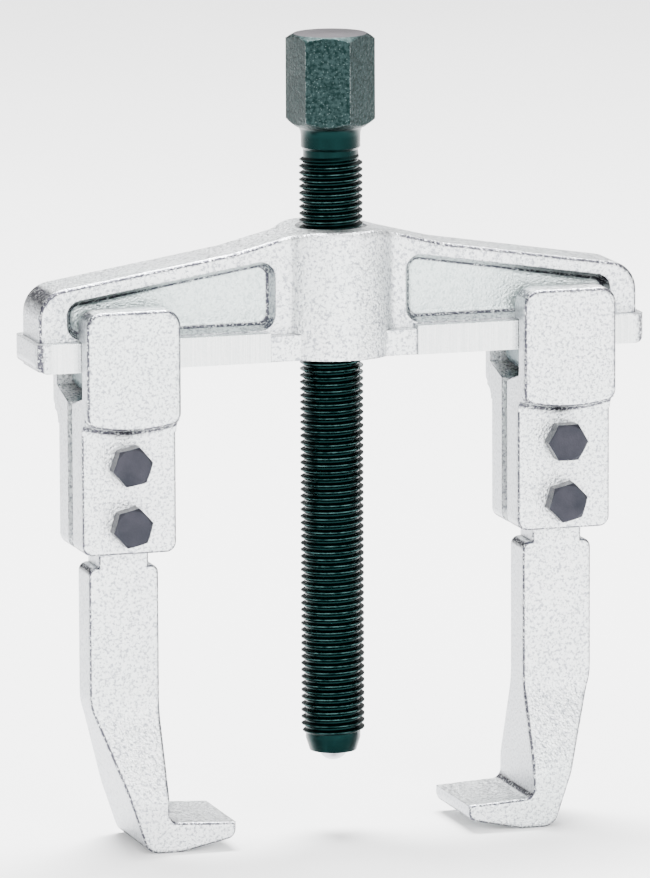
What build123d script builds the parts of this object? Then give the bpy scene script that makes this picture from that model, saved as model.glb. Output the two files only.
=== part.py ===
"""Two-arm gear puller with a forged crossbeam, sliding jaws and a ball-tipped forcing screw.

Millimetres, +Z up. The origin is on the screw axis, at the level of the jaw soles.
X runs along the crossbeam, Y through its thickness, and the front faces -Y.
"""

from build123d import *
import os
from math import cos, radians, sin, sqrt, tan

os.makedirs("parts", exist_ok=True)

# ---------------------------------------------------------------- overall sizes
REACH = 101.5  # foot tip to crossbeam underside
SPINDLE_LENGTH = 159.7  # end face to the top of the drive hexagon
SPINDLE_END_Z = 18.4  # end face of the screw above the soles, as the puller stands
BEAM_LENGTH = 139.4
LEFT_JAW_X = -49.1  # each jaw slides on its own
RIGHT_JAW_X = 50.7

# ---------------------------------------------------------------- forcing screw, M14 x 1.5
THREAD_MAJOR = 14.0
THREAD_ROOT = 12.16
THREAD_PITCH = 1.5
FLANK = tan(radians(30))
CREST_HALF = THREAD_PITCH / 16
BORE_PLAY = 0.2  # radial play between the crests and the boss
HEX_FLATS = 17.0
HEX_HEIGHT = 20.4
HEX_TOP_CIRCLE = 16.1
HEX_UNDER_CIRCLE = 15.4
HEX_UNDER_HEIGHT = 1.6
HEX_TURN = 39.3  # degrees about Z
NECK_DIAMETER = 13.1
NECK_HEIGHT = 4.5
NECK_SWEEP = 2.2
NECK_ROOT = 0.6  # the neck's cone meets the core this far below it
THREAD_START = 0.5  # the first and last crests stand this much above the root
SHOULDER_STEP = 0.1  # the hexagon's underside stands out past the neck's sweep
TIP_CONE_DIAMETER = 10.4
TIP_CONE_HEIGHT = 3.0

# ---------------------------------------------------------------- pressure ball
BALL_DIAMETER = 7.0
BALL_STANDS_OUT = 2.4
BALL_PLAY = 0.12

# ---------------------------------------------------------------- crossbeam
BEAM_HEIGHT = 28.3
RAIL_HEIGHT = 6.4
RAIL_DEPTH = 20.0
RAIL_PLAN_CORNER = 3.0
RAIL_END_CORNER = 2.4
FORGED_STEP = 0.5  # the unmachined block beside the boss stands back by this
FORGED_DROP = 0.7  # and its top lies lower by this
FORGED_BLOCK_X = 16.8
BOSS_DIAMETER = 27.2
BOSS_FLAT_X = 7.0
SHOULDER_X = 24.0
SHOULDER_DROP = 4.3
SHOULDER_BLEND = 16.0
WEB_END_INSET = 1.2  # the web ends this far inside the rail's end
WEB_END_DROP = 11.3
WEB_END_CORNER = 6.5
RIM_DEPTH = 14.5
PANEL_THICKNESS = 8.8
PANEL_DRAFT = 25.0  # degrees
PANEL_START_X = 14.9
PANEL_END_INSET = 6.2
PANEL_CORNER = 3.5
RIM_HEIGHT = 3.0
PANEL_FLOOR_FILLET = 1.5
BOSS_WEB_FILLET = 1.9
RIM_EDGE_FILLET = 1.3
BORE_CHAMFER = 0.9
PANEL_ABOVE_RAIL = 0.3

# ---------------------------------------------------------------- cheeks
CHEEK_WIDTH = 21.4
CHEEK_GAP = 3.8  # daylight between the front and the rear cheek
CHEEK_HEIGHT = 54.4
HEAD_HEIGHT = 26.4  # the thick upper block, which hooks over the rail
HEAD_DEPTH = 28.8  # over both cheeks
BODY_DEPTH = 19.2  # over both cheeks
HEAD_CORNER = 3.6
HEAD_LOW_CORNER = 2.6
HEAD_CROWN = 1.5
HEAD_EDGE = 1.2
HEAD_SWEEP = 2.6
BODY_CORNER = 2.4
BODY_EDGE = 0.9
BODY_SINK = 8.0  # the plate runs up into the head by this
SWEEP_SINK = 2.0  # and the sweep under the head into the plate by this
LIP_OVERLAP = 2.4  # how far the hook lies over the rail
LIP_THICKNESS = 6.8
RAIL_CLEARANCE = 0.3
CAVITY_HEIGHT = 5.8  # from the cavity's outer edge up to the rail
CAVITY_SLOPE = 2.4  # and its floor falls by this towards the middle

# ---------------------------------------------------------------- legs
LEG_WIDTH = 15.9
LEG_THICKNESS = 9.4
TONGUE_WIDTH = 11.4
TONGUE_CLEARANCE = 0.15
TONGUE_BELOW_RAIL = 6.8
SHOULDER_GAP = 3.4  # below the cheeks
SHOULDER_CORNER = 1.9
FOOT_DEPTH = 24.8
FOOT_REACH = 15.1  # from the shank's inner face to the tip of the foot
FOOT_TIP_HEIGHT = 6.0
FOOT_ROOT_HEIGHT = 6.8
FOOT_ROOT_FILLET = 2.2
FOOT_TIP_FILLET = 2.3
FOOT_UNDERCUT = 2.6  # rise of the underside at the tip
SOLE_LENGTH = 5.2
FLARE_TOP_Z = 31.0
FLARE_LOW_Z = 12.5
FLARE_TOP_RADIUS = 14.0
FLARE_LOW_RADIUS = 8.0
OUTER_BEND_Z = 32.5
OUTER_BEND_RADIUS = 12.0
OUTER_SLANT = 18.6  # degrees
HEEL_RADIUS = 3.6
LEG_EDGE = 0.9

# ---------------------------------------------------------------- fasteners, M5
BOLT_DIAMETER = 5.0
BOLT_HOLE_PLAY = 0.3
NUT_PLAY = 0.1
WRENCH_FLATS = 8.0
BOLT_HEAD_HEIGHT = 3.5
NUT_HEIGHT = 4.0
BOLT_STANDS_OUT = 0.6
BOLT_SPACING = 13.5
LOWER_BOLT_HEIGHT = 6.4  # above the cheek's lower end
HEAD_FACE_CIRCLE = 7.6
BOLT_UNDER_CIRCLE = 8.8
BOLT_UNDER_HEIGHT = 0.15
BOLT_END_CHAMFER = 0.5
NUT_UNDER_HEIGHT = 0.4
BOLT_TURNS = {"left_upper": 10.6, "left_lower": 13.0, "right_upper": 0.0, "right_lower": 14.0}

# ---------------------------------------------------------------- brake springs
SPRING_DEPTH = 12.6
SPRING_SPAN = 16.6
SPRING_THICKNESS = 0.9
SPRING_BEND = 3.6
SPRING_PLAY = 0.1
SPIGOT_DIAMETER = 4.0
SPIGOT_HEIGHT = 1.3
SPIGOT_PLAY = 0.3

# ---------------------------------------------------------------- how far a cut runs past its face
PAST = 1.0

# ---------------------------------------------------------------- heights that follow from them
BEAM_Z = FOOT_TIP_HEIGHT + REACH
RAIL_TOP_Z = BEAM_Z + RAIL_HEIGHT
BEAM_TOP_Z = BEAM_Z + BEAM_HEIGHT
LIP_Z = RAIL_TOP_Z + RAIL_CLEARANCE
CHEEK_TOP_Z = LIP_Z + LIP_THICKNESS
CHEEK_LOW_Z = CHEEK_TOP_Z - CHEEK_HEIGHT
HEAD_LOW_Z = CHEEK_TOP_Z - HEAD_HEIGHT
CAVITY_Z = BEAM_Z - CAVITY_HEIGHT
TONGUE_TOP_Z = BEAM_Z - TONGUE_BELOW_RAIL
SHOULDER_Z = CHEEK_LOW_Z - SHOULDER_GAP
LOWER_BOLT_Z = CHEEK_LOW_Z + LOWER_BOLT_HEIGHT
UPPER_BOLT_Z = LOWER_BOLT_Z + BOLT_SPACING
HEX_TOP_Z = SPINDLE_END_Z + SPINDLE_LENGTH
HEX_LOW_Z = HEX_TOP_Z - HEX_HEIGHT
THREAD_TOP_Z = HEX_LOW_Z - NECK_HEIGHT
THREAD_LOW_Z = SPINDLE_END_Z + TIP_CONE_HEIGHT
RAIL_Y = RAIL_DEPTH / 2
BODY_Y = BODY_DEPTH / 2
HEAD_Y = HEAD_DEPTH / 2
GRIP_Y = RAIL_Y + RAIL_CLEARANCE
WEB_END_X = BEAM_LENGTH / 2 - WEB_END_INSET
THREAD_DEPTH = (THREAD_MAJOR - THREAD_ROOT) / 2


def write(piece, name):
    """Label a piece and write its STEP file."""
    piece.label = name
    export_step(piece, f"parts/{name}.step")


def hexagon(plane, height, flats, face_circle, under_circle, under_height):
    """A hexagonal prism on a plane, its corners turned down to circles at both ends."""
    corner = flats / sqrt(3)
    face_drop = (corner - face_circle / 2) * FLANK
    across = Plane(plane.origin, x_dir=plane.x_dir, z_dir=-plane.y_dir)
    with BuildPart() as prism:
        with BuildSketch(plane):
            RegularPolygon(corner, 6)
        extrude(amount=height)
        with BuildSketch(across):
            with BuildLine():
                Polyline((0, 0), (under_circle / 2, 0), (corner, under_height),
                         (corner, height - face_drop), (face_circle / 2, height),
                         (0, height), close=True)
            make_face()
        revolve(axis=Axis(plane.origin, plane.z_dir), mode=Mode.INTERSECT)
    return prism.part


# ---------------------------------------------------------------- forcing screw
def thread_points():
    """The thread's section from the nose up to the neck: one crest for every pitch."""
    core = THREAD_ROOT / 2
    root_half = CREST_HALF + THREAD_DEPTH * FLANK
    room = THREAD_TOP_Z - NECK_ROOT - THREAD_LOW_Z - 2 * root_half
    count = int(room / THREAD_PITCH) + 1
    points = []
    for ring in range(count):
        z = THREAD_LOW_Z + root_half + THREAD_PITCH * ring
        depth = THREAD_START if ring in (0, count - 1) else THREAD_DEPTH
        half = CREST_HALF + depth * FLANK
        points += [(core, z - half), (core + depth, z - CREST_HALF),
                   (core + depth, z + CREST_HALF), (core, z + half)]
    return points


def build_spindle():
    """Hexagon, neck, thread and a nose with a socket for the ball."""
    neck = NECK_DIAMETER / 2
    shoulder = HEX_UNDER_CIRCLE / 2 - SHOULDER_STEP
    ball_z = SPINDLE_END_Z - BALL_STANDS_OUT + BALL_DIAMETER / 2
    with BuildPart() as spindle:
        with BuildSketch(Plane.XZ):
            with BuildLine():
                Polyline((shoulder, HEX_LOW_Z), (shoulder, HEX_LOW_Z + PAST),
                         (0, HEX_LOW_Z + PAST), (0, SPINDLE_END_Z),
                         (TIP_CONE_DIAMETER / 2, SPINDLE_END_Z), (THREAD_ROOT / 2, THREAD_LOW_Z),
                         *thread_points(), (THREAD_ROOT / 2, THREAD_TOP_Z - NECK_ROOT),
                         (neck, THREAD_TOP_Z), (neck, HEX_LOW_Z - NECK_SWEEP))
                ThreePointArc((neck, HEX_LOW_Z - NECK_SWEEP),
                              (neck + 0.3, HEX_LOW_Z - NECK_SWEEP * 0.42),
                              (shoulder, HEX_LOW_Z))
            make_face()
        revolve(axis=Axis.Z)
        toward = (cos(radians(HEX_TURN)), sin(radians(HEX_TURN)), 0)
        turned = Plane((0, 0, HEX_LOW_Z), x_dir=toward, z_dir=(0, 0, 1))
        add(hexagon(turned, HEX_HEIGHT, HEX_FLATS, HEX_TOP_CIRCLE, HEX_UNDER_CIRCLE,
                    HEX_UNDER_HEIGHT))
        with Locations((0, 0, ball_z)):
            Sphere(BALL_DIAMETER / 2 + BALL_PLAY, mode=Mode.SUBTRACT)
    write(spindle.part, "spindle")
    with BuildPart() as ball:
        with Locations((0, 0, ball_z)):
            Sphere(BALL_DIAMETER / 2)
    write(ball.part, "pressure_ball")


# ---------------------------------------------------------------- crossbeam
def web_top(x):
    """Height of the web's top edge outboard of its shoulder."""
    fall = (WEB_END_DROP - SHOULDER_DROP) / (WEB_END_X - SHOULDER_X)
    return BEAM_TOP_Z - SHOULDER_DROP - fall * (x - SHOULDER_X)


def build_web():
    """Boss and web with a drafted panel pocket on each side of each arm."""
    end_z = web_top(WEB_END_X)
    floor_y = PANEL_THICKNESS / 2
    rim_y = RIM_DEPTH / 2
    with BuildPart() as web:
        with BuildSketch(Plane.XZ) as outline:
            with BuildLine():
                Polyline((-WEB_END_X, BEAM_Z), (-WEB_END_X, end_z),
                         (-SHOULDER_X, BEAM_TOP_Z - SHOULDER_DROP), (-BOSS_FLAT_X, BEAM_TOP_Z),
                         (BOSS_FLAT_X, BEAM_TOP_Z), (SHOULDER_X, BEAM_TOP_Z - SHOULDER_DROP),
                         (WEB_END_X, end_z), (WEB_END_X, BEAM_Z), close=True)
            make_face()
            points = outline.vertices()
            high = points.filter_by(lambda v: v.Y > BEAM_Z + PAST)
            fillet(high.filter_by(lambda v: abs(v.X) > SHOULDER_X + PAST), WEB_END_CORNER)
            high = outline.vertices().filter_by(lambda v: abs(v.X) < SHOULDER_X + PAST)
            fillet(high, SHOULDER_BLEND)
        extrude(amount=RAIL_DEPTH, both=True)
        with BuildSketch(Plane.XY.offset(BEAM_Z)) as plan:
            Rectangle(2 * WEB_END_X + 2 * PAST, RIM_DEPTH)
            Circle(BOSS_DIAMETER / 2)
            inner = plan.vertices().filter_by(lambda v: abs(v.X) < BOSS_DIAMETER / 2)
            fillet(inner, BOSS_WEB_FILLET)
        extrude(amount=BEAM_HEIGHT + PAST, mode=Mode.INTERSECT)
        top_edges = web.edges().filter_by(
            lambda e: e.center().Z > BEAM_Z + 1 and abs(e.center().Y) > 1 and abs((e % 0.5).Z) < 0.9)
        fillet(top_edges, RIM_EDGE_FILLET)
        for side in (-1, 1):
            face = Plane((0, side * rim_y, 0), x_dir=(1, 0, 0), z_dir=(0, side, 0))
            for arm in (-1, 1):
                with BuildSketch(face) as pocket:
                    with BuildLine():
                        near = arm * PANEL_START_X
                        far = arm * (WEB_END_X - PANEL_END_INSET)
                        low = -side * (RAIL_TOP_Z + PANEL_ABOVE_RAIL)
                        high = -side * (web_top(PANEL_START_X) - RIM_HEIGHT)
                        high_end = -side * (web_top(abs(far)) - RIM_HEIGHT)
                        Polyline((near, low), (far, low), (far, high_end), (near, high),
                                 close=True)
                    make_face()
                    fillet(pocket.vertices(), PANEL_CORNER)
                extrude(amount=floor_y - rim_y, taper=PANEL_DRAFT, mode=Mode.SUBTRACT)
        floors = web.faces().filter_by(
            lambda f: abs(abs(f.center().Y) - floor_y) < 0.01 and abs(f.normal_at().Y) > 0.99)
        fillet(floors.edges(), PANEL_FLOOR_FILLET)
    return web.part


def build_crossbeam():
    """Web on a machined rail, with the screw's bore through the boss."""
    bore = THREAD_MAJOR / 2 + BORE_PLAY
    with BuildPart() as rail:
        with BuildSketch(Plane.XY.offset(BEAM_Z)) as plan:
            Rectangle(BEAM_LENGTH, RAIL_DEPTH)
            fillet(plan.vertices(), RAIL_PLAN_CORNER)
        extrude(amount=RAIL_HEIGHT)
        with BuildSketch(Plane.XZ) as front:
            with Locations((0, BEAM_Z + RAIL_HEIGHT / 2)):
                Rectangle(BEAM_LENGTH, RAIL_HEIGHT)
            fillet(front.vertices().sort_by(Axis.Y)[:2], RAIL_END_CORNER)
        extrude(amount=RAIL_DEPTH, both=True, mode=Mode.INTERSECT)
        for side in (-1, 1):
            with Locations((0, side * RAIL_Y, BEAM_Z + RAIL_HEIGHT / 2)):
                Box(2 * FORGED_BLOCK_X, 2 * FORGED_STEP, RAIL_HEIGHT + PAST, mode=Mode.SUBTRACT)
        with Locations((0, 0, RAIL_TOP_Z)):
            Box(2 * FORGED_BLOCK_X, RAIL_DEPTH + PAST, 2 * FORGED_DROP, mode=Mode.SUBTRACT)
    with BuildPart() as crossbeam:
        add(build_web())
        add(rail.part)
        with BuildSketch(Plane.XZ):
            with BuildLine():
                Polyline((0, BEAM_Z - PAST), (bore + BORE_CHAMFER + PAST, BEAM_Z - PAST),
                         (bore, BEAM_Z + BORE_CHAMFER), (bore, BEAM_TOP_Z - BORE_CHAMFER),
                         (bore + BORE_CHAMFER + PAST, BEAM_TOP_Z + PAST), (0, BEAM_TOP_Z + PAST),
                         close=True)
            make_face()
        revolve(axis=Axis.Z, mode=Mode.SUBTRACT)
    write(crossbeam.part, "crossbeam")


# ---------------------------------------------------------------- jaws
def head_sweep(jaw_x, side):
    """The hollow sweep from under a cheek's crowned head into its plate."""
    half = CHEEK_WIDTH / 2
    crown = (half ** 2 + HEAD_CROWN ** 2) / (2 * HEAD_CROWN)
    centre = (jaw_x, 0, HEAD_LOW_Z + crown)
    top_y = side * (BODY_Y + HEAD_SWEEP)
    inner_y = side * (BODY_Y - SWEEP_SINK)
    with BuildPart() as sweep_block:
        with BuildSketch(Plane(centre, x_dir=(0, 0, -1), z_dir=(1, 0, 0))):
            with BuildLine():
                RadiusArc((crown, top_y), (crown + HEAD_SWEEP, side * BODY_Y), -side * HEAD_SWEEP)
                Polyline((crown + HEAD_SWEEP, side * BODY_Y),
                         (crown + HEAD_SWEEP, inner_y),
                         (crown - HEAD_LOW_CORNER, inner_y),
                         (crown - HEAD_LOW_CORNER, top_y), (crown, top_y))
            make_face()
        revolve(axis=Axis(centre, (0, 1, 0)))
        with Locations((jaw_x, 0, HEAD_LOW_Z)):
            Box(CHEEK_WIDTH, 2 * HEAD_DEPTH, HEAD_HEIGHT, mode=Mode.INTERSECT)
    return sweep_block.part


def build_cheek(name, jaw_x, side):
    """One of four alike forgings: a hook over the rail above, a clamping plate below."""
    half = CHEEK_WIDTH / 2
    gap = CHEEK_GAP / 2
    lip = RAIL_Y - LIP_OVERLAP
    channel_x = TONGUE_WIDTH / 2 + TONGUE_CLEARANCE
    channel_y = LEG_THICKNESS / 2 + TONGUE_CLEARANCE
    front = Plane((jaw_x, 0, 0), x_dir=(1, 0, 0), z_dir=(0, -1, 0))
    through = Plane((jaw_x, 0, 0), x_dir=(0, side, 0), z_dir=(side, 0, 0))
    with BuildPart() as cheek:
        with BuildSketch(front) as head:
            with BuildLine():
                Line((half, HEAD_LOW_Z + HEAD_CROWN), (half, CHEEK_TOP_Z))
                Line((half, CHEEK_TOP_Z), (-half, CHEEK_TOP_Z))
                Line((-half, CHEEK_TOP_Z), (-half, HEAD_LOW_Z + HEAD_CROWN))
                ThreePointArc((-half, HEAD_LOW_Z + HEAD_CROWN), (0, HEAD_LOW_Z),
                              (half, HEAD_LOW_Z + HEAD_CROWN))
            make_face()
            corners = head.vertices()
            fillet(corners.filter_by(lambda v: v.Y > CHEEK_TOP_Z - PAST), HEAD_CORNER)
            corners = head.vertices()
            fillet(corners.filter_by(lambda v: v.Y < HEAD_LOW_Z + 2 * HEAD_CROWN), HEAD_LOW_CORNER)
        extrude(amount=-side * HEAD_Y)
        outer = cheek.faces().sort_by(Axis.Y)[0 if side < 0 else -1]
        fillet(outer.edges(), HEAD_EDGE)
        with BuildSketch(front) as body:
            with Locations((0, (CHEEK_LOW_Z + HEAD_LOW_Z + BODY_SINK) / 2)):
                Rectangle(CHEEK_WIDTH, HEAD_LOW_Z + BODY_SINK - CHEEK_LOW_Z)
            fillet(body.vertices().sort_by(Axis.Y)[:2], BODY_CORNER)
        extrude(amount=-side * BODY_Y)
        outer = cheek.faces().filter_by(Axis.Y).filter_by(
            lambda f: abs(abs(f.center().Y) - BODY_Y) < 0.01 and f.center().Z < HEAD_LOW_Z)
        fillet(outer.edges().filter_by(lambda e: e.center().Z < HEAD_LOW_Z - PAST), BODY_EDGE)
        add(head_sweep(jaw_x, side))
        with BuildSketch(through):
            with BuildLine():
                Polyline((-PAST, CHEEK_LOW_Z - PAST), (gap, CHEEK_LOW_Z - PAST),
                         (gap, CAVITY_Z - CAVITY_SLOPE), (GRIP_Y, CAVITY_Z), (GRIP_Y, LIP_Z),
                         (lip, LIP_Z), (lip, CHEEK_TOP_Z + PAST), (-PAST, CHEEK_TOP_Z + PAST),
                         close=True)
            make_face()
        extrude(amount=CHEEK_WIDTH, both=True, mode=Mode.SUBTRACT)
        with Locations((jaw_x, side * channel_y / 2, CHEEK_LOW_Z)):
            Box(2 * channel_x, channel_y, 2 * (CAVITY_Z - CHEEK_LOW_Z), mode=Mode.SUBTRACT)
        for z in (LOWER_BOLT_Z, UPPER_BOLT_Z):
            with BuildSketch(front):
                with Locations((0, z)):
                    Circle(BOLT_DIAMETER / 2 + BOLT_HOLE_PLAY / 2)
            extrude(amount=-side * HEAD_Y, mode=Mode.SUBTRACT)
    write(cheek.part, name)


def build_leg(name, jaw_x):
    """Tongue, shank and a foot that reaches in under the pulled part."""
    inward = -1 if jaw_x > 0 else 1
    shank = LEG_WIDTH / 2
    tongue = TONGUE_WIDTH / 2
    tip = shank + FOOT_REACH
    heel_u = tan(radians(OUTER_SLANT)) * OUTER_BEND_Z - shank
    sole_end = heel_u + HEEL_RADIUS * tan(radians(45 - OUTER_SLANT / 2)) + SOLE_LENGTH
    front = Plane((jaw_x, 0, 0), x_dir=(inward, 0, 0), z_dir=(0, -inward, 0))
    across = Plane((jaw_x, 0, 0), x_dir=(0, 1, 0), z_dir=(1, 0, 0))
    with BuildPart() as leg:
        with BuildSketch(front) as profile:
            with BuildLine():
                Polyline((-tongue, TONGUE_TOP_Z), (-tongue, SHOULDER_Z), (-shank, SHOULDER_Z),
                         (-shank, OUTER_BEND_Z), (heel_u, 0), (sole_end, 0),
                         (tip, FOOT_UNDERCUT), (tip, FOOT_TIP_HEIGHT), (shank, FOOT_ROOT_HEIGHT),
                         (shank, SHOULDER_Z), (tongue, SHOULDER_Z), (tongue, TONGUE_TOP_Z),
                         close=True)
            make_face()

            def near(u, z):
                return profile.vertices().filter_by(
                    lambda v: abs(v.X - u) < 0.01 and abs(v.Y - z) < 0.01)

            fillet(near(heel_u, 0), HEEL_RADIUS)
            fillet(near(-shank, OUTER_BEND_Z), OUTER_BEND_RADIUS)
            fillet(near(tip, FOOT_UNDERCUT), FOOT_TIP_FILLET)
            fillet(near(shank, FOOT_ROOT_HEIGHT), FOOT_ROOT_FILLET)
            fillet(near(-shank, SHOULDER_Z), SHOULDER_CORNER)
            fillet(near(shank, SHOULDER_Z), SHOULDER_CORNER)
        extrude(amount=FOOT_DEPTH, both=True)
        with BuildSketch(across) as flare:
            with BuildLine():
                thin = LEG_THICKNESS / 2
                wide = FOOT_DEPTH / 2
                Polyline((-thin, TONGUE_TOP_Z + PAST), (-thin, FLARE_TOP_Z),
                         (-wide, FLARE_LOW_Z), (-wide, -PAST), (wide, -PAST),
                         (wide, FLARE_LOW_Z), (thin, FLARE_TOP_Z), (thin, TONGUE_TOP_Z + PAST),
                         close=True)
            make_face()
            bends = flare.vertices()
            fillet(bends.filter_by(lambda v: abs(v.Y - FLARE_TOP_Z) < 0.01), FLARE_TOP_RADIUS)
            bends = flare.vertices()
            fillet(bends.filter_by(lambda v: abs(v.Y - FLARE_LOW_Z) < 0.01), FLARE_LOW_RADIUS)
        extrude(amount=2 * tip, both=True, mode=Mode.INTERSECT)
        long_edges = leg.edges().filter_by(
            lambda e: abs(e.center().Y) > LEG_THICKNESS / 2 - 0.1
            and e.center().Z < TONGUE_TOP_Z - PAST and abs((e % 0.5).Y) < 0.8)
        fillet(long_edges, LEG_EDGE)
        with Locations((jaw_x, 0, TONGUE_TOP_Z)):
            Cylinder(SPIGOT_DIAMETER / 2, 2 * SPIGOT_HEIGHT)
        for z in (LOWER_BOLT_Z, UPPER_BOLT_Z):
            with BuildSketch(front):
                with Locations((0, z)):
                    Circle(BOLT_DIAMETER / 2 + BOLT_HOLE_PLAY / 2)
            extrude(amount=LEG_THICKNESS, both=True, mode=Mode.SUBTRACT)
    write(leg.part, name)


def build_bolt(name, nut_name, jaw_x, z, turn):
    """A hexagon-head bolt through both cheeks and the tongue, with its nut behind."""
    radius = BOLT_DIAMETER / 2
    toward = (cos(radians(turn)), 0, sin(radians(turn)))
    seat = Plane((jaw_x, -BODY_Y, z), x_dir=toward, z_dir=(0, -1, 0))
    back = Plane((jaw_x, BODY_Y, z), x_dir=toward, z_dir=(0, 1, 0))
    length = BODY_DEPTH + NUT_HEIGHT + BOLT_STANDS_OUT
    with BuildPart() as bolt:
        add(hexagon(seat, BOLT_HEAD_HEIGHT, WRENCH_FLATS, HEAD_FACE_CIRCLE,
                    BOLT_UNDER_CIRCLE, BOLT_UNDER_HEIGHT))
        with BuildSketch(seat):
            Circle(radius)
        extrude(amount=-length)
        end = bolt.edges().sort_by(Axis.Y)[-1]
        chamfer(end, BOLT_END_CHAMFER)
    write(bolt.part, name)
    with BuildPart() as nut:
        add(hexagon(back, NUT_HEIGHT, WRENCH_FLATS, HEAD_FACE_CIRCLE, HEAD_FACE_CIRCLE,
                    NUT_UNDER_HEIGHT))
        with BuildSketch(back):
            Circle(radius + NUT_PLAY / 2)
        extrude(amount=NUT_HEIGHT, mode=Mode.SUBTRACT)
    write(nut.part, nut_name)


def build_spring(name, jaw_x):
    """A bent leaf between the tongue's end and the rail, located by the tongue's spigot."""
    half = SPRING_SPAN / 2
    low_z = TONGUE_TOP_Z + SPRING_PLAY
    high_z = BEAM_Z - SPRING_PLAY
    front = Plane((jaw_x, 0, 0), x_dir=(1, 0, 0), z_dir=(0, -1, 0))
    with BuildPart() as spring:
        with BuildSketch(front) as leaf:
            with BuildLine():
                Polyline((-half, high_z), (-half, low_z), (half, low_z), (half, high_z),
                         (half - SPRING_THICKNESS, high_z),
                         (half - SPRING_THICKNESS, low_z + SPRING_THICKNESS),
                         (SPRING_THICKNESS - half, low_z + SPRING_THICKNESS),
                         (SPRING_THICKNESS - half, high_z), close=True)
            make_face()
            bends = leaf.vertices()
            fillet(bends.filter_by(lambda v: abs(v.Y - low_z) < 0.01), SPRING_BEND)
            bends = leaf.vertices()
            fillet(bends.filter_by(lambda v: abs(v.Y - low_z - SPRING_THICKNESS) < 0.01
                                   and abs(v.X) > half - SPRING_THICKNESS - 0.01),
                   SPRING_BEND - SPRING_THICKNESS)
        extrude(amount=SPRING_DEPTH / 2, both=True)
        with Locations((jaw_x, 0, low_z)):
            Cylinder(SPIGOT_DIAMETER / 2 + SPIGOT_PLAY, 4 * SPRING_THICKNESS, mode=Mode.SUBTRACT)
    write(spring.part, name)


build_spindle()
build_crossbeam()
for jaw, jaw_x in (("left", LEFT_JAW_X), ("right", RIGHT_JAW_X)):
    build_cheek(f"{jaw}_cheek_front", jaw_x, -1)
    build_cheek(f"{jaw}_cheek_rear", jaw_x, 1)
    build_leg(f"{jaw}_leg", jaw_x)
    for place, bolt_z in (("upper", UPPER_BOLT_Z), ("lower", LOWER_BOLT_Z)):
        build_bolt(f"{jaw}_bolt_{place}", f"{jaw}_nut_{place}", jaw_x, bolt_z,
                   BOLT_TURNS[f"{jaw}_{place}"])
    build_spring(f"{jaw}_brake_spring", jaw_x)
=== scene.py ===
"""Looks for the gear puller: its materials, its threaded screw, the studio light and camera."""

import math

import bpy
from mathutils import Matrix, Vector


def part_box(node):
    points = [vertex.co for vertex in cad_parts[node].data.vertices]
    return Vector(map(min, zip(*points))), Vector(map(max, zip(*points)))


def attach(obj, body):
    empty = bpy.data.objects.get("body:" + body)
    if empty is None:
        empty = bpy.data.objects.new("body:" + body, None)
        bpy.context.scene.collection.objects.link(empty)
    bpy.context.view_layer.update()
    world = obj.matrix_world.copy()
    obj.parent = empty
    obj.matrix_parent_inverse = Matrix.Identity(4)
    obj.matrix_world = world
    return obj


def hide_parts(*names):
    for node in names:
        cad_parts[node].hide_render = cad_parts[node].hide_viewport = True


MM = 0.001

# ---------------------------------------------------------------- camera
CAMERA_TURN = -17.0  # degrees about Z, from straight in front towards the left
CAMERA_RISE = 9.9  # degrees above level
CAMERA_DISTANCE = 2.1
CAMERA_ROLL = -0.25  # degrees
AIM_HEIGHT = 0.0880
AIM_LEFT = 0.0015
PICTURE_SPAN = 0.1934  # height of the picture at the aim point
SENSOR_HEIGHT = 24.0

# ---------------------------------------------------------------- light
BRIGHT_SIDE = (0.20, -0.93, 0.30)  # direction of the bright end of the studio
BRIGHT_WALL = 2.2
DIM_WALL = 0.42
FLOOR_GLOW = 0.05

# ---------------------------------------------------------------- places on the object
SCREW_RADIUS = 7.0 * MM
SCREW_ROOT = 6.08 * MM
PITCH = 1.5 * MM
ROOT_FLAT = 0.25 * MM
CREST_FLAT = 0.1875 * MM
NOSE_RADIUS = 5.2 * MM
NOSE_HEIGHT = 3.0 * MM
NECK_RADIUS = 6.55 * MM
NECK_HEIGHT = 4.5 * MM
NECK_SWEEP = 2.2 * MM
NECK_CONE = 0.6 * MM
UNDER_RADIUS = 7.6 * MM
HEX_HEIGHT = 20.4 * MM
HEX_APOTHEM = 8.5 * MM
HEX_TURN = 39.3  # degrees
HEX_UNDER_RADIUS = 7.7 * MM
HEX_UNDER_HEIGHT = 1.6 * MM
HEX_FACE_RADIUS = 8.05 * MM
HEX_FACE_DROP = 1.02 * MM
SOCKET_RADIUS = 3.62 * MM
SOCKET_DEPTH = 1.1 * MM  # from the end face up to the ball's centre
AROUND = 96  # points round the screw, a multiple of 6
RAIL_FACE_Y = 10.0 * MM  # the rail's front and rear faces
BOSS_FLANK = (13.2 * MM, 14.4 * MM)  # rounded edges are marked from here outwards
FORGED_BLOCK_X = 16.8 * MM  # the rail is ground beyond this
RAIL_END_X = (67.2 * MM, 66.4 * MM)  # the grinding fades out over this
# The recess floors get painted shade, tinted cyan.
PANEL_FLOOR_Y = (6.2 * MM, 4.8 * MM)  # the recess tint fades in over this
SOCKET_RINGS = 12
SWEEP_RINGS = 6
UNDER_RINGS = 10
FACE_RINGS = 8


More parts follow.
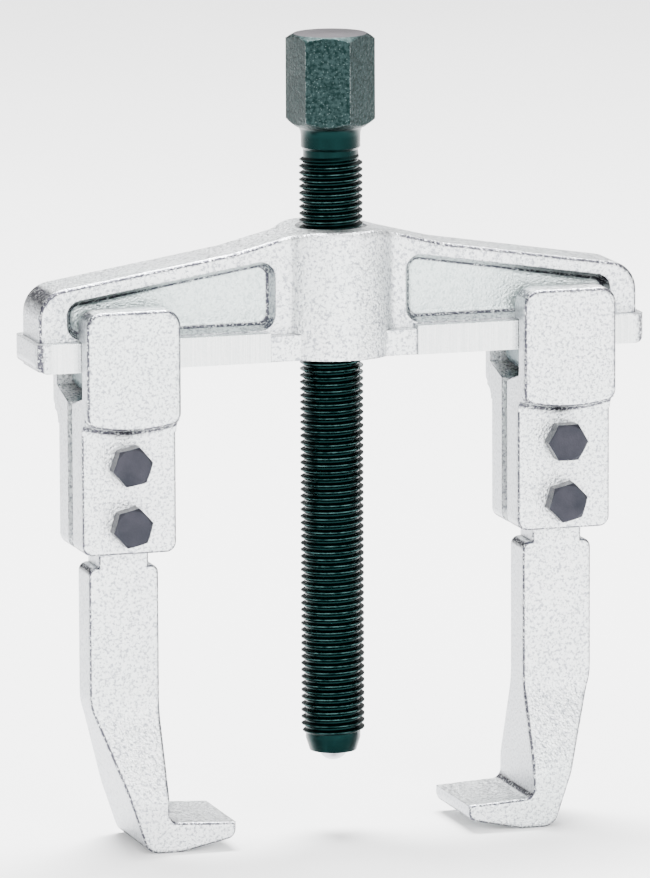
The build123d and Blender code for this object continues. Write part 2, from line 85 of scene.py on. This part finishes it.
class Nodes:
    """Short names for building a node material."""

    def __init__(self, name):
        self.material = bpy.data.materials.new(name)
        self.material.use_nodes = True
        self.tree = self.material.node_tree
        self.shader = self.tree.nodes["Principled BSDF"]
        self.coordinates = self.add("ShaderNodeTexCoord")
        self.place = self.coordinates.outputs["Object"]

    def add(self, kind, **settings):
        node = self.tree.nodes.new(kind)
        for key, value in settings.items():
            setattr(node, key, value)
        return node

    def link(self, source, target):
        self.tree.links.new(source, target)

    def put(self, value, socket):
        if isinstance(value, bpy.types.NodeSocket):
            self.link(value, socket)
        else:
            socket.default_value = value

    def noise(self, scale, detail=3.0, roughness=0.55, place=None):
        node = self.add("ShaderNodeTexNoise")
        node.inputs["Scale"].default_value = scale
        node.inputs["Detail"].default_value = detail
        node.inputs["Roughness"].default_value = roughness
        self.link(place or self.place, node.inputs["Vector"])
        return node.outputs["Fac"]

    def cells(self, scale):
        node = self.add("ShaderNodeTexVoronoi", feature="F1")
        node.inputs["Scale"].default_value = scale
        self.link(self.place, node.inputs["Vector"])
        return node.outputs["Distance"]

    def stretched(self, x, y, z):
        node = self.add("ShaderNodeMapping")
        node.inputs["Scale"].default_value = (x, y, z)
        self.link(self.place, node.inputs["Vector"])
        return node.outputs["Vector"]

    def ramp(self, value, low, high, start=0.0, end=1.0):
        """value from low to high becomes start to end, smoothly and clamped."""
        node = self.add("ShaderNodeMapRange", interpolation_type="SMOOTHSTEP")
        self.put(value, node.inputs["Value"])
        self.put(low, node.inputs["From Min"])
        self.put(high, node.inputs["From Max"])
        self.put(start, node.inputs["To Min"])
        self.put(end, node.inputs["To Max"])
        return node.outputs["Result"]

    def math(self, operation, a, b=0.0):
        node = self.add("ShaderNodeMath", operation=operation)
        self.put(a, node.inputs[0])
        self.put(b, node.inputs[1])
        return node.outputs[0]

    def mix(self, factor, a, b):
        node = self.add("ShaderNodeMix", data_type="RGBA")
        self.put(factor, node.inputs["Factor"])
        self.put(a, node.inputs[6])
        self.put(b, node.inputs[7])
        return node.outputs[2]

    def axes(self):
        node = self.add("ShaderNodeSeparateXYZ")
        self.link(self.place, node.inputs[0])
        return node.outputs

    def edges(self, radius):
        """Above 0 along sharp edges and 0 on the flats, from a widened normal."""
        wide = self.add("ShaderNodeBevel", samples=6)
        wide.inputs["Radius"].default_value = radius
        here = self.add("ShaderNodeNewGeometry")
        dot = self.add("ShaderNodeVectorMath", operation="DOT_PRODUCT")
        self.link(wide.outputs[0], dot.inputs[0])
        self.link(here.outputs["Normal"], dot.inputs[1])
        return self.math("SUBTRACT", 1.0, dot.outputs["Value"])

    def facing(self):
        """The lengths of the normal's three parts, in the piece's own directions."""
        node = self.add("ShaderNodeSeparateXYZ")
        self.link(self.coordinates.outputs["Normal"], node.inputs[0])
        return [self.math("ABSOLUTE", part) for part in node.outputs]

    def bump(self, height, distance, strength):
        node = self.add("ShaderNodeBump")
        node.inputs["Strength"].default_value = strength
        node.inputs["Distance"].default_value = distance
        self.link(height, node.inputs["Height"])
        return node.outputs["Normal"]

    def finish(self, color, roughness, metallic, normal=None, **sockets):
        """Sets the shader, with further sockets by name, an underscore for each space."""
        self.put(color, self.shader.inputs["Base Color"])
        self.put(roughness, self.shader.inputs["Roughness"])
        self.shader.inputs["Metallic"].default_value = metallic
        if normal is not None:
            self.link(normal, self.shader.inputs["Normal"])
        for key, value in sockets.items():
            self.shader.inputs[key.replace("_", " ")].default_value = value
        return self.material


# ---------------------------------------------------------------- materials
def plated_forging(name, rail_floor=None):
    """Bright zinc over a shot-blasted forging, with ground rail faces where rail_floor is given,
    and painted shade: dark edges, darker faces that face along X and, on the crossbeam, darker cyan
    recess floors.
    """
    n = Nodes(name)
    x, y, z = n.axes()
    across, through, up = n.facing()
    blotch = n.noise(55.0, 3.0)
    grain = n.noise(1450.0, 3.0, 0.7)
    dents = n.cells(1900.0)
    fine = n.noise(5200.0, 2.0)
    turned = n.math("SUBTRACT", 1.0, n.math("MAXIMUM", across, n.math("MAXIMUM", through, up)))
    rounded = n.ramp(turned, 0.08, 0.17)
    if rail_floor is not None:
        rounded = n.math("MULTIPLY", rounded, n.ramp(n.math("ABSOLUTE", x), *BOSS_FLANK))
    sharp = n.ramp(n.edges(0.5 * MM), 0.03, 0.16)
    edge = n.math("MAXIMUM", rounded, sharp)
    speck = n.ramp(n.noise(1500.0, 2.0, 0.75), 0.34, 0.50)
    tone = n.mix(blotch, (0.72, 0.745, 0.755, 1), (0.84, 0.85, 0.855, 1))
    tint = n.mix(n.ramp(n.noise(28.0, 2.0), 0.45, 0.7, 0.0, 0.35), tone, (0.66, 0.74, 0.725, 1))
    # Painted shade: faces that face along X are painted darker.
    side_face_shade = n.math("MULTIPLY", n.ramp(across, 0.80, 0.95), 0.75)
    tint = n.mix(side_face_shade, tint, (0.44, 0.455, 0.48, 1))
    grained = n.mix(n.ramp(grain, 0.38, 0.53, 0.85, 0.0), tint, (0.24, 0.255, 0.29, 1))
    # Painted shade: along sharp and rounded edges the colour goes nearly black, broken up by
    # speckle noise, as a painted dark reflection of the surroundings.
    color = n.mix(n.math("MULTIPLY", edge, n.math("MULTIPLY", speck, 0.95)), grained,
                  (0.040, 0.038, 0.055, 1))
    rough = n.ramp(grain, 0.3, 0.7, 0.30, 0.44)
    height = n.math("ADD", n.math("MULTIPLY", dents, 0.45), n.math("MULTIPLY", grain, 0.75))
    height = n.math("ADD", height, n.math("MULTIPLY", fine, 0.15))
    height = n.math("ADD", height, n.math("MULTIPLY", n.noise(260.0, 2.0), 0.6))
    if rail_floor is not None:
        outside = n.ramp(n.math("ABSOLUTE", y), RAIL_FACE_Y - 0.35 * MM, RAIL_FACE_Y - 0.1 * MM)
        beyond = n.ramp(n.math("ABSOLUTE", x),
                        FORGED_BLOCK_X - 0.05 * MM, FORGED_BLOCK_X + 0.1 * MM)
        under = n.ramp(z, rail_floor + 0.15 * MM, rail_floor + 0.02 * MM)
        inner = n.ramp(n.math("ABSOLUTE", x), *RAIL_END_X)
        ground = n.math("MULTIPLY", n.math("MAXIMUM", outside, under),
                        n.math("MULTIPLY", beyond, inner))
        # Painted shade: the panel recess floors are painted darker and cyan.
        recess = n.math("MULTIPLY", n.ramp(n.math("ABSOLUTE", y), *PANEL_FLOOR_Y),
                        n.ramp(through, 0.80, 0.95))
        color = n.mix(n.math("MULTIPLY", recess, 0.6), color, (0.50, 0.60, 0.585, 1))
        scratch = n.noise(1.0, 2.0, 0.6, n.stretched(3400.0, 3400.0, 60.0))
        clean = n.mix(n.ramp(scratch, 0.35, 0.7), (0.70, 0.73, 0.73, 1), (0.86, 0.87, 0.87, 1))
        color = n.mix(ground, color, clean)
        rough = n.math("SUBTRACT", rough, n.math("MULTIPLY", ground, 0.10))
        kept = n.math("SUBTRACT", 1.0, n.math("MULTIPLY", ground, 0.93))
        height = n.math("MULTIPLY", height, kept)
        height = n.math("ADD", height,
                        n.math("MULTIPLY", scratch, n.math("MULTIPLY", ground, 0.10)))
    return n.finish(color, rough, 1.0, n.bump(height, 0.20 * MM, 1.0))


def black_screw(name, thread_top, hexagon_floor):
    """Oiled black oxide: thread crests lighter from wear and a painted highlight, a coarse grain on
    the hexagon with painted glints, a painted edge highlight and a painted sheen on its top face.
    """
    n = Nodes(name)
    x, y, z = n.axes()
    radius = n.math("SQRT", n.math("ADD", n.math("MULTIPLY", x, x), n.math("MULTIPLY", y, y)))
    on_thread = n.ramp(z, thread_top + 0.2 * MM, thread_top - 0.2 * MM)
    crest = n.math("MULTIPLY", on_thread,
                   n.ramp(radius, SCREW_RADIUS - 0.16 * MM, SCREW_RADIUS - 0.02 * MM))
    # Crests lighter from wear and a painted highlight.
    worn_crest_highlight = n.math("MULTIPLY", crest, n.ramp(n.noise(420.0, 4.0, 0.7), 0.38, 0.66))
    stain = n.noise(90.0, 3.0)
    black = n.mix(stain, (0.0018, 0.0085, 0.0085, 1), (0.0045, 0.0170, 0.0165, 1))
    threaded = n.mix(worn_crest_highlight, black, (0.030, 0.070, 0.068, 1))
    on_hexagon = n.ramp(z, hexagon_floor - 0.4 * MM, hexagon_floor + 0.4 * MM)
    grain = n.noise(1300.0, 3.0, 0.65)
    # Painted glints: small cells on the hexagon painted lighter.
    glint = n.ramp(n.cells(1500.0), 0.26, 0.08)
    head = n.mix(n.ramp(grain, 0.35, 0.65),
                 (0.0045, 0.0130, 0.0125, 1), (0.020, 0.036, 0.036, 1))
    head = n.mix(n.math("MULTIPLY", glint, 0.55), head, (0.10, 0.135, 0.135, 1))
    edge = n.ramp(n.edges(0.45 * MM), 0.03, 0.20)
    # Painted highlight: a speckled light line along the hexagon's edges.
    dotted_edge_highlight = n.math("MULTIPLY", edge, n.ramp(n.noise(1500.0, 2.0, 0.7), 0.46, 0.56))
    head = n.mix(n.math("MULTIPLY", dotted_edge_highlight, 0.85), head, (0.30, 0.34, 0.34, 1))
    # Painted sheen: the hexagon's up-facing end face painted pale lilac.
    top_face_sheen = n.ramp(n.facing()[2], 0.85, 0.97)
    head = n.mix(n.math("MULTIPLY", top_face_sheen, 0.65), head, (0.12, 0.105, 0.115, 1))
    color = n.mix(on_hexagon, threaded, head)
    rough = n.math("ADD", n.ramp(stain, 0.3, 0.7, 0.24, 0.36), n.math("MULTIPLY", on_hexagon, 0.16))
    height = n.math("MULTIPLY", grain, n.math("ADD", 0.12, n.math("MULTIPLY", on_hexagon, 1.1)))
    return n.finish(color, rough, 1.0, n.bump(height, 0.14 * MM, 0.9))


def black_fastener(name):
    """Black oxide on a cold-formed bolt, brighter along its turned rim from wear and a painted
    highlight.
    """
    n = Nodes(name)
    stain = n.noise(260.0, 3.0)
    grain = n.noise(2400.0, 3.0, 0.6)
    base = n.mix(stain, (0.015, 0.017, 0.022, 1), (0.040, 0.039, 0.048, 1))
    edge = n.ramp(n.edges(0.35 * MM), 0.02, 0.14)
    # The rim is lighter from wear and a painted highlight.
    rubbed_rim_highlight = n.math("MULTIPLY", edge, n.ramp(n.noise(900.0, 3.0, 0.7), 0.40, 0.62))
    color = n.mix(n.math("MULTIPLY", rubbed_rim_highlight, 0.75), base, (0.11, 0.125, 0.13, 1))
    rough = n.ramp(grain, 0.3, 0.7, 0.28, 0.46)
    return n.finish(color, rough, 1.0, n.bump(grain, 0.06 * MM, 0.8))


def ball_steel(name):
    """Lapped bearing steel with a faint haze and fine handling scratches."""
    n = Nodes(name)
    haze = n.noise(500.0, 3.0)
    scratch = n.noise(1.0, 3.0, 0.7, n.stretched(900.0, 5200.0, 2100.0))
    color = n.mix(haze, (0.36, 0.36, 0.39, 1), (0.50, 0.50, 0.53, 1))
    rough = n.ramp(haze, 0.3, 0.7, 0.10, 0.22)
    return n.finish(color, rough, 1.0, n.bump(scratch, 0.01 * MM, 0.5))


def spring_steel(name):
    """Dark blue-green heat-tempered leaf."""
    n = Nodes(name)
    bloom = n.noise(160.0, 3.0)
    lines = n.noise(1.0, 2.0, 0.6, n.stretched(400.0, 3600.0, 400.0))
    color = n.mix(bloom, (0.010, 0.045, 0.040, 1), (0.035, 0.060, 0.085, 1))
    rough = n.ramp(lines, 0.3, 0.7, 0.22, 0.38)
    return n.finish(color, rough, 0.9, n.bump(lines, 0.03 * MM, 0.5))


def paint(nodes):
    """Gives every CAD piece its material and returns the screw's."""
    rail_floor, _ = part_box("crossbeam")
    _, screw_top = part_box("spindle")
    hexagon_floor = screw_top.z - HEX_HEIGHT
    beam = plated_forging("plated_crossbeam", rail_floor.z)
    forging = plated_forging("plated_forging")
    screw = black_screw("black_screw", hexagon_floor - NECK_HEIGHT, hexagon_floor)
    fastener = black_fastener("black_fastener")
    finishes = {"crossbeam": beam, "spindle": screw, "pressure_ball": ball_steel("ball_steel")}
    leaf = spring_steel("spring_steel")
    for name, node in nodes.items():
        material = finishes.get(name)
        if material is None and "spring" in name:
            material = leaf
        if material is None:
            material = fastener if "bolt" in name or "nut" in name else forging
        node.data.materials.clear()
        node.data.materials.append(material)
    return screw


# ---------------------------------------------------------------- screw with its helical thread
class Shell:
    """A closed surface built upwards from rings of points."""

    def __init__(self):
        self.points = []
        self.faces = []

    def point(self, turn, radius, z):
        """Adds a point at this many steps round from the hexagon's corner."""
        angle = math.radians(HEX_TURN) + 2 * math.pi * turn / AROUND
        self.points.append((radius * math.cos(angle), radius * math.sin(angle), z))
        return len(self.points) - 1

    def ring(self, z, radius):
        """Adds a ring, its radius one number or a function of the step round."""
        size = radius if callable(radius) else lambda step: radius
        return [self.point(step, size(step), z) for step in range(AROUND)]

    def band(self, below, above):
        """Joins two rings that run upwards on the outside."""
        for step in range(AROUND):
            after = (step + 1) % AROUND
            self.faces.append((below[step], below[after], above[after], above[step]))


def ridge_height(step, steps):
    """The thread fades in over half a turn and out over three quarters of one."""
    depth = SCREW_RADIUS - SCREW_ROOT
    fade_in = min(1.0, 2.0 * step / AROUND)
    fade_out = min(1.0, (steps - step) / (0.75 * AROUND))
    return depth * max(0.0, min(fade_in, fade_out))


def add_thread(shell, below, low_z, high_z):
    """Adds the helical thread above a ring and returns the ring that ends it."""
    turns = int((high_z - low_z) / PITCH) - 1
    steps = turns * AROUND
    flank = (PITCH - ROOT_FLAT - CREST_FLAT) / 2
    offsets = (0.0, ROOT_FLAT, ROOT_FLAT + flank, ROOT_FLAT + flank + CREST_FLAT)
    columns = []
    for step in range(steps + AROUND + 1):
        z = low_z + PITCH * step / AROUND
        column = [shell.point(step, SCREW_ROOT, z)]
        if step <= steps:
            height = ridge_height(step, steps)
            start = min(1.0, (z + ROOT_FLAT + flank - low_z) / (SCREW_RADIUS - SCREW_ROOT))
            column.append(shell.point(step, SCREW_ROOT, z + offsets[1]))
            for offset in offsets[2:]:
                column.append(shell.point(step, SCREW_ROOT + height * start, z + offset))
        columns.append(column)
    for step in range(steps):
        here, after = columns[step], columns[step + 1]
        left = here + [columns[step + AROUND][0]]
        right = after + [columns[step + AROUND + 1][0]]
        for row in range(4):
            shell.faces.append((left[row], right[row], right[row + 1], left[row + 1]))
    for step in range(AROUND - 1):
        shell.faces.append((below[step], below[step + 1], columns[step + 1][0], columns[step][0]))
    shell.faces.append((below[-1], below[0], *columns[0],
                        columns[AROUND][0], columns[AROUND - 1][0]))
    above = shell.ring(high_z, SCREW_ROOT)
    edge = [columns[steps + step][0] for step in range(AROUND + 1)]
    shell.faces.append((edge[0], edge[1], above[1], above[0],
                        edge[AROUND], *columns[steps][:0:-1]))
    for step in range(1, AROUND):
        after = (step + 1) % AROUND
        shell.faces.append((edge[step], edge[step + 1], above[after], above[step]))
    return above


def hexagon_radius(limit):
    """The hexagon's outline, no further out than a cone that turns down its corners."""
    def radius(step):
        off_flat = math.radians(abs((360.0 * step / AROUND) % 60.0 - 30.0))
        return min(limit, HEX_APOTHEM / math.cos(off_flat))
    return radius


def build_screw(material):
    """The forcing screw as one closed mesh: socket, nose, helical thread, neck and hexagon."""
    low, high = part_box("spindle")
    end_z, top_z = low.z, high.z
    hexagon_z = top_z - HEX_HEIGHT
    neck_z = hexagon_z - NECK_HEIGHT
    corner = HEX_APOTHEM / math.cos(math.radians(30.0))
    shell = Shell()
    centre_z = end_z + SOCKET_DEPTH
    pole = shell.point(0, 0.0, centre_z + SOCKET_RADIUS)
    mouth = math.asin(SOCKET_DEPTH / SOCKET_RADIUS)
    previous = None
    for part in range(1, SOCKET_RINGS + 1):
        rise = math.pi / 2 - (math.pi / 2 + mouth) * part / SOCKET_RINGS
        ring = shell.ring(centre_z + SOCKET_RADIUS * math.sin(rise), SOCKET_RADIUS * math.cos(rise))
        if previous is None:
            for step in range(AROUND):
                shell.faces.append((pole, ring[step], ring[(step + 1) % AROUND]))
        else:
            shell.band(previous, ring)
        previous = ring
    for z, radius in ((end_z, NOSE_RADIUS), (end_z + NOSE_HEIGHT - 0.2 * MM, SCREW_ROOT)):
        ring = shell.ring(z, radius)
        shell.band(previous, ring)
        previous = ring
    previous = add_thread(shell, previous, end_z + NOSE_HEIGHT, neck_z - NECK_CONE)
    sections = [(neck_z, NECK_RADIUS), (hexagon_z - NECK_SWEEP, NECK_RADIUS)]
    for part in range(1, SWEEP_RINGS + 1):
        bend = math.pi / 2 * part / SWEEP_RINGS
        sections.append((hexagon_z - NECK_SWEEP * (1 - math.sin(bend)),
                         UNDER_RADIUS - (UNDER_RADIUS - NECK_RADIUS) * math.cos(bend)))
    for part in range(UNDER_RINGS + 1):
        share = part / UNDER_RINGS
        cone = HEX_UNDER_RADIUS + (corner - HEX_UNDER_RADIUS) * share
        sections.append((hexagon_z + HEX_UNDER_HEIGHT * share, hexagon_radius(cone)))
    for part in range(FACE_RINGS + 1):
        share = part / FACE_RINGS
        cone = corner + (HEX_FACE_RADIUS - corner) * share
        sections.append((top_z - HEX_FACE_DROP * (1 - share), hexagon_radius(cone)))
    for z, radius in sections:
        ring = shell.ring(z, radius)
        shell.band(previous, ring)
        previous = ring
    shell.faces.append(tuple(previous))
    mesh = bpy.data.meshes.new("forcing_screw")
    mesh.from_pydata(shell.points, [], shell.faces)
    mesh.materials.append(material)
    mesh.shade_smooth()
    mesh.set_sharp_from_angle(angle=math.radians(24.0))
    screw = bpy.data.objects.new("forcing_screw", mesh)
    bpy.context.scene.collection.objects.link(screw)
    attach(screw, "spindle")
    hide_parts("spindle")


# ---------------------------------------------------------------- studio
def plane(name, size, place, material):
    """A flat rectangle that belongs to the studio, not to the object."""
    mesh = bpy.data.meshes.new(name)
    half_x, half_y = size[0] / 2, size[1] / 2
    corners = [(-half_x, -half_y, 0), (half_x, -half_y, 0),
               (half_x, half_y, 0), (-half_x, half_y, 0)]
    mesh.from_pydata(corners, [], [(0, 1, 2, 3)])
    mesh.materials.append(material)
    sheet = bpy.data.objects.new(name, mesh)
    sheet.location = place
    bpy.context.scene.collection.objects.link(sheet)


def area_light(name, place, aim, size, power):
    """A white rectangular light at one place, turned towards another."""
    light = bpy.data.lights.new(name, "AREA")
    light.shape = "RECTANGLE"
    light.size, light.size_y = size
    light.energy = power
    holder = bpy.data.objects.new(name, light)
    holder.location = place
    holder.rotation_euler = (Vector(aim) - Vector(place)).to_track_quat("-Z", "Y").to_euler()
    bpy.context.scene.collection.objects.link(holder)


def build_studio():
    """A pale floor, surroundings brighter towards the front, and three soft lights."""
    n = Nodes("studio_floor")
    floor = n.finish((0.93, 0.93, 0.93, 1), n.ramp(n.noise(6.0), 0.3, 0.7, 0.75, 0.85), 0.0,
                     Emission_Color=(1, 1, 1, 1), Emission_Strength=FLOOR_GLOW)
    plane("floor", (8.0, 8.0), (0, 0, 0), floor)
    world = bpy.data.worlds.new("studio")
    world.use_nodes = True
    tree = world.node_tree
    background = tree.nodes["Background"]
    direction = tree.nodes.new("ShaderNodeTexCoord").outputs["Generated"]
    toward = tree.nodes.new("ShaderNodeVectorMath")
    toward.operation = "DOT_PRODUCT"
    toward.inputs[1].default_value = BRIGHT_SIDE
    level = tree.nodes.new("ShaderNodeMapRange")
    level.interpolation_type = "SMOOTHSTEP"
    level.inputs["From Min"].default_value = -0.75
    level.inputs["From Max"].default_value = 0.75
    level.inputs["To Min"].default_value = DIM_WALL
    level.inputs["To Max"].default_value = BRIGHT_WALL
    tree.links.new(direction, toward.inputs[0])
    tree.links.new(toward.outputs["Value"], level.inputs["Value"])
    tree.links.new(level.outputs["Result"], background.inputs["Strength"])
    background.inputs["Color"].default_value = (1.0, 1.0, 1.0, 1)
    bpy.context.scene.world = world
    middle = (0, 0, 0.09)
    area_light("key", (0.15, -1.70, 0.75), middle, (0.75, 0.95), 30.0)
    area_light("left_strip", (-1.10, -0.75, 0.55), middle, (0.18, 0.9), 7.0)
    area_light("top", (0.05, 0.45, 1.5), middle, (0.9, 0.6), 118.0)


def build_camera():
    """The camera, to the left of straight in front and a little above."""
    turn, rise = math.radians(CAMERA_TURN), math.radians(CAMERA_RISE)
    toward = Vector((math.sin(turn) * math.cos(rise), -math.cos(turn) * math.cos(rise),
                     math.sin(rise)))
    right = Vector((math.cos(turn), math.sin(turn), 0))
    aim = Vector((0, 0, AIM_HEIGHT)) - right * AIM_LEFT
    data = bpy.data.cameras.new("camera")
    data.sensor_fit = "VERTICAL"
    data.sensor_height = SENSOR_HEIGHT
    data.lens = SENSOR_HEIGHT * CAMERA_DISTANCE / PICTURE_SPAN
    data.clip_start = 0.05
    data.clip_end = 20.0
    camera = bpy.data.objects.new("camera", data)
    level = (-toward).to_track_quat("-Z", "Y").to_matrix()
    roll = Matrix.Rotation(math.radians(CAMERA_ROLL), 3, "Z")
    place = Matrix.Translation(aim + toward * CAMERA_DISTANCE)
    camera.matrix_world = place @ (level @ roll).to_4x4()
    bpy.context.scene.collection.objects.link(camera)
    bpy.context.scene.camera = camera


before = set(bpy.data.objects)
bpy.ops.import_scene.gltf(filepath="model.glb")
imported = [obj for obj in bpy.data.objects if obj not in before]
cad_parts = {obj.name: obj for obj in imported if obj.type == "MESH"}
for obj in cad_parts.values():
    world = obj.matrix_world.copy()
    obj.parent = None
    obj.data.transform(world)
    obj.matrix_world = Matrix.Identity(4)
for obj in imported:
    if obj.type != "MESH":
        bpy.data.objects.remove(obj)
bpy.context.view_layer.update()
build_screw(paint(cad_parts))
build_studio()
build_camera()
